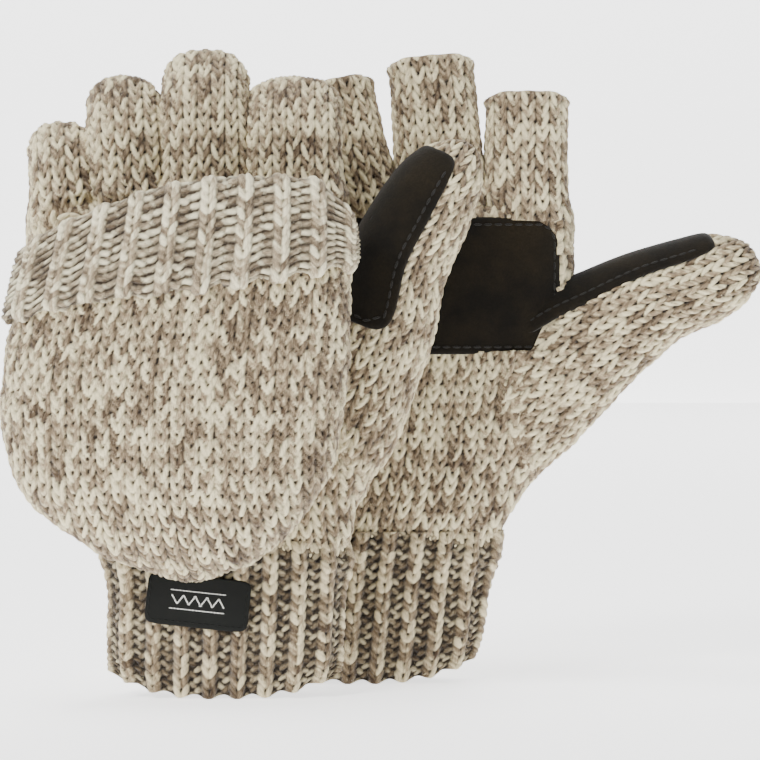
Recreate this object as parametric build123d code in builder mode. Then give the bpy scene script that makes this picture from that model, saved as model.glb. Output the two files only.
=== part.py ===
"""A pair of convertible flip-top mittens, in millimetres, +Z up, standing on their cuffs.

The left glove stands in front with its back to -Y, the right glove stands behind it with its palm
to -Y, and both thumbs point to +X. Each glove is a knitted cuff, hand, thumb and four half fingers
over an insulated lining, with suede patches on the palm and thumb. An insulated hood with a ribbed
band is sewn to the back of the hand at the knuckles and lies folded back over the hand.
"""
from build123d import *
import os
from math import cos, radians, sin

# Fabric thicknesses
KNIT = 2.4
INSULATION = 1.2
LINING = 0.8
RIB = 3.2
SUEDE = 1.2
THREAD = 0.35
LABEL_THICKNESS = 0.7

# Heights above the cuff's hem
CUFF_TOP = 48.0
KNUCKLES = 163.0
HAND_TOP_LAYERS = KNIT + INSULATION + LINING

# Depths, measured from the plane midway between the two gloves
BACK_OF_HAND = 34.0
HAND_HALF_DEPTH = 12.5
HINGE_DEPTH = BACK_OF_HAND + 1.1
FINGER_DEPTH = 20.2
FINGER_HALF_DEPTH = 10.2
THUMB_DEPTH = 21.5
THUMB_HALF_DEPTH = 12.0

# Hood
HOOD_GAP = 0.3
HOOD_HALF_DEPTH = 15.75
HOOD_HALF_WIDTH = 57.5
HOOD_MOUTH = 175.0
HOOD_SHELL_TOP = 173.0
HOOD_LINING_TOP = 166.0
HOOD_WIDEST = 99.0
HOOD_BOTTOM = 41.0
BAND_BOTTOM = 139.0
BAND_THICKNESS = 3.2
BAND_SIDE_GAP = 5.0
HINGE_CLEARANCE = 1.1
HINGE_CUT_DEPTH = 8.0
SEAM_RADIUS = 0.8
SEAM_HALF_LENGTH = 44.0

# Stitching
PATCH_CORNER = 8.0
STITCH_INSET = 1.6
STITCH_WIDTH = 0.8

# Label
LABEL_WIDTH = 35.0
LABEL_HEIGHT = 19.0
LABEL_MIDDLE_HEIGHT = 34.5
LABEL_TILT = -6.0
LABEL_CORNER = 1.5
LABEL_STITCH_INSET = 0.7
LABEL_STITCH_WIDTH = 0.5

PAIR_MIDDLE = 3.3  # middle of the pair along X, which the stations below are measured beside
CURL_RADIUS = 13.0
FINGER_ROOT = 9.0  # how far a finger's path starts below the knuckles, before it is trimmed
FAR = 400.0
CRUMB_SHARE = 0.01  # a loose crumb under this share of its layer is dropped

# The hood's stations: height, middle, half width, half depth
HOOD_STATIONS = [
    (HOOD_MOUTH, -64.5, 57.5, HOOD_HALF_DEPTH),
    (HOOD_WIDEST, -68.5, HOOD_HALF_WIDTH, HOOD_HALF_DEPTH),
    (75, -69.3, 50.5, 14.5),
    (55, -67.5, 33.0, 10.5),
    (HOOD_BOTTOM, -63.0, 11.0, 4.0),
]

# A glove's stations are height, middle, half width and half depth. A thumb's are the middle's X and
# Z, half width and half depth. A finger is middle, width, lean in degrees, height of its end.
LEFT = {
    "name": "left",
    "back": -1,
    "cuff": [(0, -53.3, 38.7), (CUFF_TOP, -52.0, 40.0)],
    "hand": [(CUFF_TOP, -52.0, 40.0), (75, -52.5, 47.5), (100, -55.0, 52.5), (KNUCKLES, -64.5, 53.0)],
    "thumb_angle": 66.0,
    "thumb": [
        (-14.0, 90.0, 20.0, 11.5),
        (2.0, 128.0, 17.0, 12.0),
        (13.5, 161.0, 15.3, 12.0),
        (20.5, 174.0, 13.3, 11.0),
        (25.3, 182.0, 9.5, 8.0),
        (28.5, 187.5, 3.5, 3.0),
    ],
    "fingers": {
        "little": (-107.5, 20.6, -4.6, 194.0),
        "ring": (-85.5, 23.6, -3.5, 209.0),
        "middle": (-59.6, 27.8, 0.0, 218.0),
        "index": (-29.2, 31.6, 0.0, 209.0),
    },
    "curl": 60.0,
    "hood_shift": 0.0,
    "label_middle": -60.2,
    "palm_patch": (-116.0, -15.0, 115.0, 161.5),
    "palm_stitching": (-103.0, -26.0, 117.0, 159.5),
    "thumb_patch": [(-3, 118), (8.7, 146.3), (14.3, 159.7), (20, 169), (26.3, 178.3), (27.6, 184),
                    (18, 194), (-14, 170), (-12, 132)],
}
RIGHT = {
    "name": "right",
    "back": 1,
    "cuff": [(0, -6.5, 39.5), (CUFF_TOP, -2.0, 42.0)],
    "hand": [(CUFF_TOP, -2.0, 42.0), (75, 3.0, 50.0), (100, 6.5, 53.5), (KNUCKLES, 12.5, 54.0)],
    "thumb_angle": 28.0,
    "thumb": [
        (40.0, 88.0, 26.0, 11.5),
        (58.0, 108.0, 26.0, 12.0),
        (99.0, 135.3, 16.3, 12.0),
        (116.0, 141.0, 15.0, 11.5),
        (127.0, 147.0, 10.0, 8.0),
        (132.3, 149.2, 3.2, 2.8),
    ],
    "fingers": {
        "little": (-30.8, 20.4, -15.0, 196.0),
        "ring": (-6.5, 27.0, -12.4, 210.6),
        "middle": (22.3, 29.0, -4.8, 218.9),
        "index": (51.8, 27.4, 0.0, 206.4),
    },
    "curl": 0.0,
    "hood_shift": 74.7,
    "label_middle": -10.0,
    "palm_patch": (-33.0, 64.5, 115.0, 161.5),
    "palm_stitching": (-27.0, 34.0, 117.0, 159.5),
    "thumb_patch": [(50, 123.5), (63.3, 127), (79, 136.2), (91.4, 141.2), (109, 149.3), (121, 155),
                    (118, 172), (60, 160), (50, 140)],
}

os.makedirs("parts", exist_ok=True)


def section_stack(stations):
    """A solid lofted through rounded sections: height, middle X, middle Y, half width, half depth."""
    with BuildPart() as stack:
        for height, middle_x, middle_y, half_width, half_depth in stations:
            with BuildSketch(Plane.XY.offset(height)):
                with Locations((middle_x - PAIR_MIDDLE, middle_y)):
                    SlotOverall(2 * half_width, 2 * half_depth)
        loft(ruled=True)
    return stack.part


def wrist_to_knuckles(glove, part_name, inset, top_drop=0.0):
    """The cuff's or hand's form, pulled in by inset, with its top lowered by top_drop."""
    stations = []
    top = glove[part_name][-1][0]
    depth = glove["back"] * (BACK_OF_HAND - HAND_HALF_DEPTH)
    for height, middle, half_width in glove[part_name]:
        lowered = height - top_drop if height == top else height
        stations.append((lowered, middle, depth, half_width - inset, HAND_HALF_DEPTH - inset))
    return section_stack(stations)


def hood_form(glove, inset):
    """The hood's form as it lies folded, pulled in by inset."""
    stations = []
    for height, middle, half_width, half_depth in HOOD_STATIONS:
        depth = glove["back"] * (HINGE_DEPTH + HOOD_GAP + half_depth)
        low = max(0.0, (HOOD_WIDEST - height) / (HOOD_WIDEST - HOOD_BOTTOM))
        stations.append((
            height + inset * low**2,
            middle + glove["hood_shift"],
            depth,
            half_width * (1 - inset / HOOD_HALF_WIDTH),
            half_depth * (1 - inset / HOOD_HALF_DEPTH),
        ))
    return section_stack(stations)


def thumb_form(glove, inset):
    """The thumb with its gusset, pulled in by inset and shortened at the tip."""
    angle = radians(glove["thumb_angle"])
    axis = Vector(cos(angle), 0, sin(angle))
    across = Vector(-sin(angle), 0, cos(angle))
    last = len(glove["thumb"]) - 1
    with BuildPart() as thumb:
        for number, (x, z, half_width, half_depth) in enumerate(glove["thumb"]):
            middle = Vector(x - PAIR_MIDDLE, glove["back"] * THUMB_DEPTH, z)
            middle -= axis * inset * (number / last) ** 3
            share = inset / THUMB_HALF_DEPTH
            with BuildSketch(Plane(origin=middle, x_dir=across, z_dir=axis)):
                Ellipse(half_width * (1 - share), half_depth * (1 - share))
        loft(ruled=True)
    return thumb.part


def finger_form(glove, finger, inset):
    """A finger's solid form from below the knuckles to its open end, pulled in by inset."""
    middle, width, lean, end_height = glove["fingers"][finger]
    palm = -glove["back"]
    direction = Vector(sin(radians(lean)), 0, cos(radians(lean)))
    root = Vector(middle - PAIR_MIDDLE, glove["back"] * FINGER_DEPTH, KNUCKLES)
    root -= direction * FINGER_ROOT
    curl = glove["curl"]
    rise = (CURL_RADIUS + FINGER_HALF_DEPTH) * sin(radians(curl))
    length = (end_height - rise - KNUCKLES) / cos(radians(lean)) + FINGER_ROOT
    towards_palm = Vector(0, palm, 0)
    side_plane = Plane(origin=root, x_dir=towards_palm, z_dir=towards_palm.cross(direction))
    across = Vector(direction.Z, 0, -direction.X)
    with BuildPart() as form:
        with BuildLine(side_plane) as path:
            straight = Line((0, 0), (0, length))
            if curl:
                JernArc(straight @ 1, (0, 1), CURL_RADIUS, -curl)
        with BuildSketch(Plane(origin=root, x_dir=across, z_dir=direction)):
            Ellipse(width / 2 - inset, FINGER_HALF_DEPTH - inset)
        sweep(path=path.wire())
    return form.part


def hinge_side(glove, depth_from, height_from):
    """A block over the hand side of the plane at depth_from, above height_from."""
    with BuildPart() as block:
        with BuildSketch(Plane.XY.offset(height_from)):
            with Locations((0, glove["back"] * (depth_from - FAR / 2))):
                Rectangle(FAR, FAR)
        extrude(amount=FAR)
    return block.part


def slab(low, high):
    """A wide block between two heights."""
    with BuildPart() as block:
        with BuildSketch(Plane.XY.offset(low)):
            Rectangle(FAR, FAR)
        extrude(amount=high - low)
    return block.part


def palm_outline(glove):
    """A prism through the palm half of the glove, with the palm patch's outline."""
    low_x, high_x, low_z, high_z = glove["palm_patch"]
    middle = Vector((low_x + high_x) / 2 - PAIR_MIDDLE, glove["back"] * THUMB_DEPTH, (low_z + high_z) / 2)
    plane = Plane(origin=middle, x_dir=(1, 0, 0), z_dir=(0, -glove["back"], 0))
    with BuildPart() as prism:
        with BuildSketch(plane):
            RectangleRounded(high_x - low_x, high_z - low_z, PATCH_CORNER)
        extrude(amount=BACK_OF_HAND)
    return prism.part


def thumb_outline(glove, inset):
    """A prism through the whole thumb, with the thumb patch's outline."""
    plane = Plane(origin=(-PAIR_MIDDLE, 0, 0), x_dir=(1, 0, 0), z_dir=(0, -1, 0))
    with BuildPart() as prism:
        with BuildSketch(plane):
            with BuildLine():
                Polyline(*glove["thumb_patch"], close=True)
            make_face()
            if inset:
                offset(amount=-inset, kind=Kind.INTERSECTION)
        extrude(amount=BACK_OF_HAND * 2, both=True)
    return prism.part


def finish(name, builder):
    """Label a finished piece and write it to its own file."""
    builder.part.label = name
    export_step(builder.part, f"parts/{name}.step")


def shell_between(outer, inner, *cuts, within=()):
    """The layer between two nested forms, less the cuts, kept inside each form of within."""
    with BuildPart() as layer:
        add(outer)
        add(inner, mode=Mode.SUBTRACT)
        for cut in cuts:
            add(cut, mode=Mode.SUBTRACT)
        for kept in within:
            add(kept, mode=Mode.INTERSECT)
        largest = max(solid.volume for solid in layer.solids())
        crumbs = [solid for solid in layer.solids() if solid.volume < CRUMB_SHARE * largest]
        for crumb in crumbs:
            add(crumb, mode=Mode.SUBTRACT)
    return layer


def make_cuff(glove):
    outer = wrist_to_knuckles(glove, "cuff", 0)
    inner = wrist_to_knuckles(glove, "cuff", RIB)
    finish(glove["name"] + "_cuff", shell_between(outer, inner))


def make_hand_and_thumb(glove):
    """The knitted hand and thumb, and the insulation and lining inside them."""
    name = glove["name"]
    depths = (0, KNIT, KNIT + INSULATION, HAND_TOP_LAYERS)
    hand = [wrist_to_knuckles(glove, "hand", depth, depth) for depth in depths]
    thumb = [thumb_form(glove, depth) for depth in (0, KNIT, KNIT + LINING)]
    fingers = [finger_form(glove, finger, KNIT) for finger in glove["fingers"]]
    below = slab(CUFF_TOP - FAR, CUFF_TOP)

    finish(name + "_hand_shell", shell_between(hand[0], hand[1], thumb[0], *fingers))
    finish(name + "_hand_insulation", shell_between(hand[1], hand[2], thumb[1], *fingers))
    finish(name + "_hand_lining", shell_between(hand[2], hand[3], thumb[1], *fingers))
    finish(name + "_thumb_shell", shell_between(thumb[0], thumb[1], hand[1], below))
    finish(name + "_thumb_lining", shell_between(thumb[1], thumb[2], hand[3], below))


def make_fingers(glove):
    below = slab(KNUCKLES - FAR, KNUCKLES)
    for finger in glove["fingers"]:
        outer = finger_form(glove, finger, 0)
        inner = finger_form(glove, finger, KNIT)
        finish(f"{glove['name']}_{finger}_finger", shell_between(outer, inner, below))


def make_hood(glove):
    """The hood's knitted shell, insulation, lining and ribbed band, and its seam at the knuckles."""
    name = glove["name"]
    layers = (-BAND_THICKNESS, 0, KNIT, KNIT + INSULATION, HAND_TOP_LAYERS)
    band, outer, insulation, lining, pocket = [hood_form(glove, inset) for inset in layers]
    hinge_cut = hinge_side(glove, HINGE_DEPTH + HINGE_CUT_DEPTH, KNUCKLES - HINGE_CLEARANCE)
    lining_cut = slab(HOOD_LINING_TOP, FAR)

    shell_top = slab(HOOD_SHELL_TOP, FAR)
    finish(name + "_hood_shell", shell_between(outer, insulation, hinge_cut, shell_top))
    finish(name + "_hood_insulation", shell_between(insulation, lining, hinge_cut, lining_cut))
    finish(name + "_hood_lining", shell_between(lining, pocket, hinge_cut, lining_cut))

    band_cut = hinge_side(glove, HINGE_DEPTH + BAND_SIDE_GAP, 0)
    band_height = slab(BAND_BOTTOM, HOOD_MOUTH)
    finish(name + "_hood_band", shell_between(band, outer, band_cut, within=[band_height]))

    hinge_middle = HOOD_STATIONS[0][1] + glove["hood_shift"] - PAIR_MIDDLE
    start = (hinge_middle - SEAM_HALF_LENGTH, glove["back"] * HINGE_DEPTH, KNUCKLES)
    with BuildPart() as seam:
        with BuildSketch(Plane(origin=start, z_dir=(1, 0, 0))):
            Circle(SEAM_RADIUS)
        extrude(amount=2 * SEAM_HALF_LENGTH)
    finish(name + "_hood_seam", seam)


def make_palm_patch(glove):
    """The suede palm patch, which wraps the palm's edges, and the thread along its flat part."""
    name = glove["name"]
    hand = wrist_to_knuckles(glove, "hand", 0)
    suede = wrist_to_knuckles(glove, "hand", -SUEDE)
    thumb = thumb_form(glove, -SUEDE)
    patch = shell_between(suede, hand, thumb, within=[palm_outline(glove)])
    finish(name + "_palm_patch", patch)

    low_x, high_x, low_z, high_z = glove["palm_stitching"]
    back = glove["back"]
    face = back * (BACK_OF_HAND - 2 * HAND_HALF_DEPTH - SUEDE)
    middle = Vector((low_x + high_x) / 2 - PAIR_MIDDLE, face, (low_z + high_z) / 2)
    with BuildPart() as stitching:
        with BuildSketch(Plane(origin=middle, x_dir=(1, 0, 0), z_dir=(0, -back, 0))):
            Rectangle(high_x - low_x, high_z - low_z)
            Rectangle(high_x - low_x - 2 * STITCH_WIDTH, high_z - low_z - 2 * STITCH_WIDTH, mode=Mode.SUBTRACT)
        extrude(amount=THREAD)
    finish(name + "_palm_patch_stitching", stitching)


def make_thumb_patch(glove):
    """The suede thumb patch and its thread."""
    name = glove["name"]
    hand = wrist_to_knuckles(glove, "hand", -SUEDE - THREAD)
    knit = thumb_form(glove, 0)
    suede = thumb_form(glove, -SUEDE)
    thread = thumb_form(glove, -SUEDE - THREAD)
    patch = shell_between(suede, knit, hand, within=[thumb_outline(glove, 0)])
    finish(name + "_thumb_patch", patch)
    edge = thumb_outline(glove, STITCH_INSET + STITCH_WIDTH)
    stitching = shell_between(thread, suede, hand, edge, within=[thumb_outline(glove, STITCH_INSET)])
    finish(name + "_thumb_patch_stitching", stitching)


def make_label(glove):
    """The woven label on the back of the cuff, and the thread along its edge."""
    name = glove["name"]
    back = glove["back"]
    base = Vector(glove["label_middle"] - PAIR_MIDDLE, back * BACK_OF_HAND, LABEL_MIDDLE_HEIGHT)
    face = base + Vector(0, back * LABEL_THICKNESS, 0)
    with BuildPart() as label:
        with BuildSketch(Plane(origin=base, x_dir=(1, 0, 0), z_dir=(0, back, 0))):
            RectangleRounded(LABEL_WIDTH, LABEL_HEIGHT, LABEL_CORNER, rotation=-back * LABEL_TILT)
        extrude(amount=LABEL_THICKNESS)
    finish(name + "_label", label)
    with BuildPart() as stitching:
        with BuildSketch(Plane(origin=face, x_dir=(1, 0, 0), z_dir=(0, back, 0))):
            for gap, mode in ((LABEL_STITCH_INSET, Mode.ADD),
                              (LABEL_STITCH_INSET + LABEL_STITCH_WIDTH, Mode.SUBTRACT)):
                RectangleRounded(LABEL_WIDTH - 2 * gap, LABEL_HEIGHT - 2 * gap, LABEL_CORNER - gap,
                                 rotation=-back * LABEL_TILT, mode=mode)
        extrude(amount=THREAD)
    finish(name + "_label_stitching", stitching)


for one_glove in (LEFT, RIGHT):
    make_cuff(one_glove)
    make_hand_and_thumb(one_glove)
    make_fingers(one_glove)
    make_hood(one_glove)
    make_palm_patch(one_glove)
    make_thumb_patch(one_glove)
    make_label(one_glove)
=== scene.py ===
"""Looks of a pair of convertible flip-top mittens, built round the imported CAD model.

Every knitted piece is a closed surface whose outside is raised into real stitches: a tube follows a
form's stations, each point is placed by how many wales and courses it lies from the form's middle,
and the yarn's legs stand up from it. All lengths inside the functions are in millimetres, and
make_mesh turns them into metres.
"""
import bpy
import math
import numpy as np
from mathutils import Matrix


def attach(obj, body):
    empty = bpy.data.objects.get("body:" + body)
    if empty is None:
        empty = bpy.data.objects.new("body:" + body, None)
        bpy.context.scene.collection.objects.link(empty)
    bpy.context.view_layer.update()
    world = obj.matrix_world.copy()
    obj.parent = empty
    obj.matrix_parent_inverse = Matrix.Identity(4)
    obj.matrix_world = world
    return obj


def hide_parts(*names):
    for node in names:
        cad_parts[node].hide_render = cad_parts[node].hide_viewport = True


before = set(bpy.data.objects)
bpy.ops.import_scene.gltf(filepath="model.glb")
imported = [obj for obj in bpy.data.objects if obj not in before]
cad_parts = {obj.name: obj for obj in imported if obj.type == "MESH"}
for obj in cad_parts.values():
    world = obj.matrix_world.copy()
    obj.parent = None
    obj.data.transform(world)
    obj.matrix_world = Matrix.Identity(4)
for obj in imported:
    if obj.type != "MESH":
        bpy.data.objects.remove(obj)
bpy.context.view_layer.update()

MM = 0.001
SPACING = 0.5  # distance between a knitted surface's points
COARSE_ROWS = 3.0  # distance between the rows of a surface's plain inside
SEED = 7

WALE = 4.9  # width of a stitch
COURSE = 4.1  # height of a stitch
CUFF_RIB = 9.8
CUFF_COURSE = 3.5
BAND_RIB = 12.7
BAND_COURSE = 3.1
FABRIC = 2.2  # thickness of the knit behind its stitches
UNION = 9.0  # how far the surfaces of two joined tubes swell towards each other
FAR_SIDE = 500.0  # added to the wales of a tube's far side, so that its yarn differs from the near side's

# A stitch's raised features: offset across and along the cell, half length, half width, lean from
# the vertical in degrees and height, in mm, with the offset across as a share of the cell.
STOCKINETTE = [
    (-0.24, 0.0, 3.7, 1.06, -20, 1.6),
    (0.24, 0.0, 3.7, 1.06, 20, 1.6),
]
CUFF_STITCHES = [
    (-0.135, 0.0, 2.8, 1.35, -20, 1.5),
    (0.135, 0.0, 2.8, 1.35, 20, 1.5),
    (-0.41, 0.0, 1.7, 0.95, 50, 0.75),
    (0.41, 1.5, 1.7, 0.95, -50, 0.75),
]
BAND_STITCHES = [
    (-0.115, 0.0, 3.0, 1.35, -21, 1.6),
    (0.115, 0.0, 3.0, 1.35, 21, 1.6),
    (-0.34, 0.5, 2.2, 1.2, 80, 1.2),
    (0.34, -0.6, 2.2, 1.2, -80, 1.2),
    (0.5, 0.2, 1.7, 1.1, 96, 0.95),
]


# ---------- numbers and noise

def signed_power(value, exponent):
    return np.sign(value) * np.abs(value) ** exponent


def hashed(*values):
    """A repeatable random number from 0 to 1 for each combination of whole numbers."""
    total = sum(v * k for v, k in zip(values, (12.9898, 78.233, 37.719, 9.151)))
    return np.mod(np.sin(total) * 43758.5453, 1.0)


def smooth_between(low, high, value):
    t = np.clip((value - low) / (high - low), 0, 1)
    return t * t * (3 - 2 * t)


def slow_noise(points, size, seed):
    """Smooth noise from -1 to 1: a few sine waves in fixed random directions."""
    rng = np.random.default_rng(seed)
    total = np.zeros(points.shape[:-1])
    for _ in range(6):
        direction = rng.normal(size=3)
        direction *= rng.uniform(0.6, 1.5) * 2 * math.pi / (size * np.linalg.norm(direction))
        total += np.sin(points @ direction + rng.uniform(0, 6.28))
    return total / 3.2


def curve_through(stations, share):
    """Catmull-Rom values at each share, 0 to 1, of the way along evenly numbered stations."""
    table = np.asarray(stations, float)
    table = np.vstack([2 * table[0] - table[1], table, 2 * table[-1] - table[-2]])
    place = np.clip(share, 0, 1) * (len(table) - 3)
    index = np.minimum(place.astype(int), len(table) - 4)
    t = (place - index)[:, None]
    a, b, c, d = (table[index + k] for k in range(4))
    return b + 0.5 * t * (c - a + t * (2 * a - 5 * b + 4 * c - d + t * (3 * (b - c) + d - a)))


def along_table(at, run, table):
    """Each column of a table at distances along a run."""
    return np.stack([np.interp(at, run, column) for column in np.transpose(table)], axis=1)


# ---------- forms

class Form:
    """A tube: stations of centre (x, y, z), half width and half depth, and a direction across.

    across and depth are unit vectors, one for the whole form or one for each station."""

    def __init__(self, centres, widths, depths, across, depth, power):
        count = len(centres)
        self.power = power
        self.table = np.hstack([
            np.asarray(centres, float),
            np.reshape(widths, (count, 1)),
            np.reshape(depths, (count, 1)),
            np.broadcast_to(across, (count, 3)),
            np.broadcast_to(depth, (count, 3)),
        ])
        fine = curve_through(self.table, np.linspace(0, 1, 200))
        steps = np.linalg.norm(np.diff(fine[:, :3], axis=0), axis=1)
        steps += 0.5 * np.abs(np.diff(fine[:, 3])) + 0.5 * np.abs(np.diff(fine[:, 4]))
        self.along = np.concatenate([[0], np.cumsum(steps)])
        self.samples = fine[::4]

    @property
    def length(self):
        return self.along[-1]

    def rows(self, distances):
        """Centre, half sizes and directions at distances along the form."""
        share = np.interp(distances, self.along, np.linspace(0, 1, len(self.along)))
        return curve_through(self.table, share)

    def points(self, distances, angles, inset=0.0):
        """The point at each distance and angle, pulled in by inset."""
        distances, angles = np.broadcast_arrays(distances, angles)
        row = self.rows(distances.ravel()).reshape(*distances.shape, -1)
        width = np.maximum(row[..., 3] - inset, 0.15)
        depth = np.maximum(row[..., 4] - inset, 0.1)
        exponent = 2 / self.power
        side = (width * signed_power(np.cos(angles), exponent))[..., None]
        front = (depth * signed_power(np.sin(angles), exponent))[..., None]
        return row[..., :3] + row[..., 5:8] * side + row[..., 8:11] * front

    def distance(self, points):
        """Roughly how far points lie outside this form; negative inside."""
        flat = points.reshape(-1, 3)
        best = np.full(len(flat), 1e9)
        for s in self.samples:
            offset = flat - s[:3]
            x, y = offset @ s[5:8], offset @ s[8:11]
            axis = np.cross(s[5:8], s[8:11])
            z = offset @ axis
            size = (np.abs(x / s[3]) ** self.power + np.abs(y / s[4]) ** self.power) ** (1 / self.power)
            radial = np.hypot(x, y) * (1 - 1 / np.maximum(size, 1e-3))
            near = np.where(radial > 0, np.hypot(radial, z), np.maximum(radial, np.abs(z) - 6))
            best = np.minimum(best, near)
        return best.reshape(points.shape[:-1])


def even_angles(form, spacing, middle_distance):
    """Angles spaced evenly round the form's section, starting at the middle of its near side."""
    fine = np.linspace(-math.pi / 2, 1.5 * math.pi, 1441)
    ring = form.points(middle_distance, fine)
    run = np.concatenate([[0], np.cumsum(np.linalg.norm(np.diff(ring, axis=0), axis=1))])
    count = max(16, 4 * int(round(run[-1] / spacing / 4)))
    return np.interp(np.arange(count) * run[-1] / count, run, fine)


# ---------- stitches

def raise_stitches(stitches, s, t, cell_width, cell_height):
    """Height of the yarn above the fabric at s cells across and t cells up, and where on the yarn
    each point lies: mm along it, mm across it, and a random number for the leg."""
    height = np.zeros_like(s)
    along = np.zeros_like(s)
    across = np.zeros_like(s)
    leg = np.zeros_like(s)
    column, row = np.floor(s), np.floor(t)
    for number, (shift_x, shift_y, half_length, half_width, lean, tall) in enumerate(stitches):
        angle = math.radians(lean)
        dx, dy = math.sin(angle), math.cos(angle)
        for step_x in (-1, 0, 1):
            for step_y in (-1, 0, 1):
                i, j = column + step_x, row + step_y
                chance = hashed(i, j, number)
                other = hashed(j, i, number + 11)
                x = (s - i - 0.5 - shift_x) * cell_width + (other - 0.5) * 0.3
                y = (t - j - 0.5) * cell_height - shift_y + (chance - 0.5) * 0.5
                p, q = x * dx + y * dy, x * dy - y * dx
                q = q + 0.03 * p * p * math.copysign(1, lean)
                size = 0.92 + 0.16 * other
                inside = 1 - np.abs(p / half_length) ** 2.6 - (q / (half_width * size)) ** 2
                tuck = 0.9 + 0.2 * chance - 0.16 * p / half_length
                here = tall * tuck * np.sqrt(np.maximum(inside, 0))
                higher = here > height
                height = np.where(higher, here, height)
                along = np.where(higher, p, along)
                across = np.where(higher, q, across)
                leg = np.where(higher, chance, leg)
    return height, along, across, leg


def rib_profile(s, tall, sharpness):
    """Ribs: raised at the middle of each cell, low between cells."""
    return tall * (0.5 - 0.5 * np.cos(2 * math.pi * s)) ** sharpness


# ---------- meshes

def add_object(name, data):
    thing = bpy.data.objects.new(name, data)
    bpy.context.scene.collection.objects.link(thing)
    return thing


def make_mesh(name, points, faces, material, yarn=None, relief=None):
    """A closed smooth mesh from points in mm and faces of four, turned to face outward."""
    points = np.asarray(points, float)
    faces = np.asarray(faces, int)
    a, b, c, d = (points[faces[:, k]] for k in range(4))
    volume = np.einsum("ij,ij->", np.cross(a, b), c) + np.einsum("ij,ij->", np.cross(a, c), d)
    if volume < 0:
        faces = faces[:, ::-1]
    mesh = bpy.data.meshes.new(name)
    mesh.vertices.add(len(points))
    mesh.vertices.foreach_set("co", (points * MM).astype(np.float32).ravel())
    mesh.loops.add(faces.size)
    mesh.loops.foreach_set("vertex_index", faces.astype(np.int32).ravel())
    mesh.polygons.add(len(faces))
    mesh.polygons.foreach_set("loop_start", np.arange(0, faces.size, 4, dtype=np.int32))
    mesh.polygons.foreach_set("use_smooth", np.ones(len(faces), bool))
    mesh.update(calc_edges=True)
    for key, kind, field, values in (("yarn", "FLOAT_VECTOR", "vector", yarn),
                                     ("relief", "FLOAT", "value", relief)):
        if values is not None:
            attribute = mesh.attributes.new(key, kind, "POINT")
            attribute.data.foreach_set(field, np.asarray(values, np.float32).ravel())
    mesh.validate()
    mesh.materials.append(material)
    return add_object(name, mesh)


def grid_faces(rows, columns, wrap_rows, wrap_columns, start=0):
    """Faces of four over a grid of points numbered row by row from start."""
    last_row = rows if wrap_rows else rows - 1
    last_column = columns if wrap_columns else columns - 1
    r, c = np.meshgrid(np.arange(last_row), np.arange(last_column), indexing="ij")
    next_r, next_c = (r + 1) % rows, (c + 1) % columns
    corners = [r * columns + c, r * columns + next_c, next_r * columns + next_c, next_r * columns + c]
    return np.stack([k.ravel() for k in corners], axis=1) + start


def grid_normals(points, outward):
    """Unit normals of a grid whose columns wrap, on the side that outward points to."""
    across = np.roll(points, -1, axis=1) - np.roll(points, 1, axis=1)
    along = np.gradient(points, axis=0)
    normals = np.cross(across, along)
    normals /= np.maximum(np.linalg.norm(normals, axis=2, keepdims=True), 1e-9)
    flip = np.sign(np.einsum("ijk,ijk->ij", normals, outward))
    flip[flip == 0] = 1
    return normals * flip[..., None]


def wales_from_middle(points, wale):
    """How many wales each point of a ring grid lies from the middle of the near or far side.

    Column 0 is the middle of the near side. Wales run straight up both middles, and end at the
    sides, as they do where a knitted piece is shaped."""
    steps = np.linalg.norm(np.roll(points, -1, axis=1) - points, axis=2)
    run = np.cumsum(steps, axis=1) - steps
    total = steps.sum(axis=1, keepdims=True)
    quarter = total / 4
    run = np.where(run > total / 2, run - total, run)
    far = np.abs(run) > quarter
    from_far = np.abs(run) - total / 2
    signed = np.where(far, from_far * np.sign(run), run)
    return signed / wale + np.where(far, FAR_SIDE, 0.0)


def courses_along(points, course, column=0):
    """How many courses each row of a ring grid lies from the first, measured on its near side."""
    steps = np.linalg.norm(np.diff(points[:, column], axis=0), axis=1)
    return np.concatenate([[0], np.cumsum(steps)])[:, None] / course


def knit_grid(name, base, inner, centre, material, s, t, stitches=STOCKINETTE, cell=(WALE, COURSE),
              rib=(0.0, 1.0), sink=0.55, swell=0.0, lumps=0.5, fade=1.0, press=None):
    """A knitted piece whose outside is base, a ring grid raised into stitches, and whose plain inside
    is inner. s and t are each point's place in stitches."""
    normals = grid_normals(base, base - centre)
    s, t = np.broadcast_to(s, base.shape[:2]), np.broadcast_to(t, base.shape[:2])
    height, along, across, leg = raise_stitches(stitches, s, t, *cell)
    raised = height + rib_profile(s, *rib) - sink + swell
    raised = raised + lumps * (slow_noise(base, 34, SEED) + 0.35 * slow_noise(base, 11, SEED + 1))
    raised = raised * fade
    if press is not None:
        raised = np.where(press(base), np.minimum(raised, -0.5), raised)
    outside = base + normals * raised[..., None]
    plain = np.zeros(inner.shape[:2])
    rows = np.arange(len(inner))[:, None] * COARSE_ROWS
    columns = np.arange(inner.shape[1])[None, :] * 0.6
    yarn = np.stack([
        np.concatenate([along, plain + rows]),
        np.concatenate([across, plain + columns]),
        np.concatenate([leg, plain + 0.4]),
    ], axis=-1)
    stack = np.concatenate([outside, inner])
    tallest = max(feature[-1] for feature in stitches)
    # relief is the stitches' height, which sets the painted shade in the gaps between them
    relief = np.concatenate([height / tallest, plain + 0.6])
    faces = grid_faces(*stack.shape[:2], True, True)
    return make_mesh(name, stack.reshape(-1, 3), faces, material, yarn.reshape(-1, 3), relief.ravel())


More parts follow.
